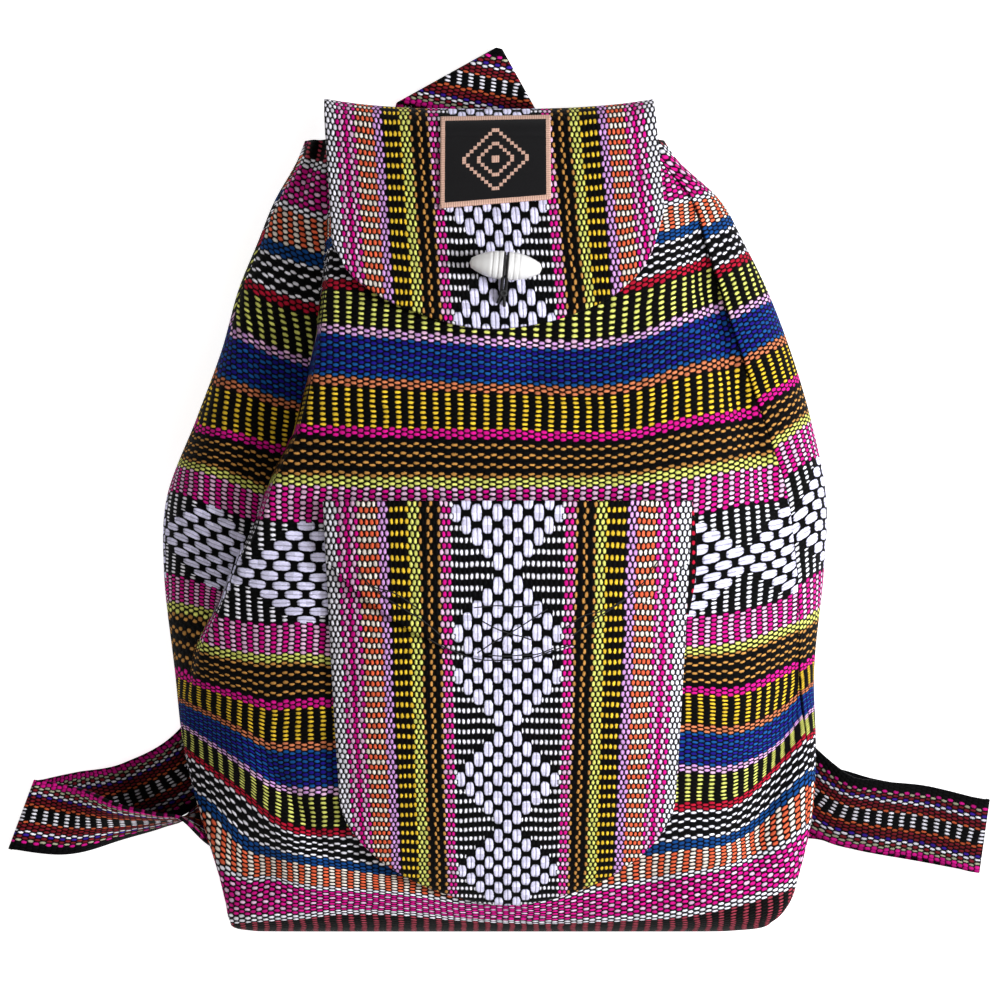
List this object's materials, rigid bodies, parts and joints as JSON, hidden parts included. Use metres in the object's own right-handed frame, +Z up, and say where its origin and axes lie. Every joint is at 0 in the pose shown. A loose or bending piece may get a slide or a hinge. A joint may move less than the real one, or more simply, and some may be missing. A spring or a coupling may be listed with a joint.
{
  "type": "fabric backpack",
  "caption": "Soft backpack of striped handwoven cloth, lying on its back, with a toggled flap over its mouth, a flapped patch pocket, a top handle and shoulder straps.",
  "frame": {"origin": "middle of the surface under the bag, at the centre of its bounding box's base", "axes": "+Z up from the surface, out of the bag's front; +Y towards the bag's top; +X to the right as seen from the front"},
  "size_m": [0.5386, 0.4898, 0.1323],
  "materials": {
    "body_cloth": "handwoven striped cotton",
    "flap_cloth": "handwoven striped cotton",
    "pocket_cloth": "handwoven striped cotton",
    "label_satin": "woven satin",
    "toggle": "polished off-white",
    "loop_cord": "twisted black cord",
    "strap_webbing": "handwoven striped band"
  },
  "bodies": {
    "root": {"front_panel": "body_cloth", "back_panel": "body_cloth", "flap": "flap_cloth", "pocket": "pocket_cloth", "pocket_flap": "pocket_cloth", "label": "label_satin", "toggle": "toggle", "toggle_loop": "loop_cord", "handle": "strap_webbing", "strap_left": "strap_webbing", "strap_right": "strap_webbing"}
  },
  "joints": []
}
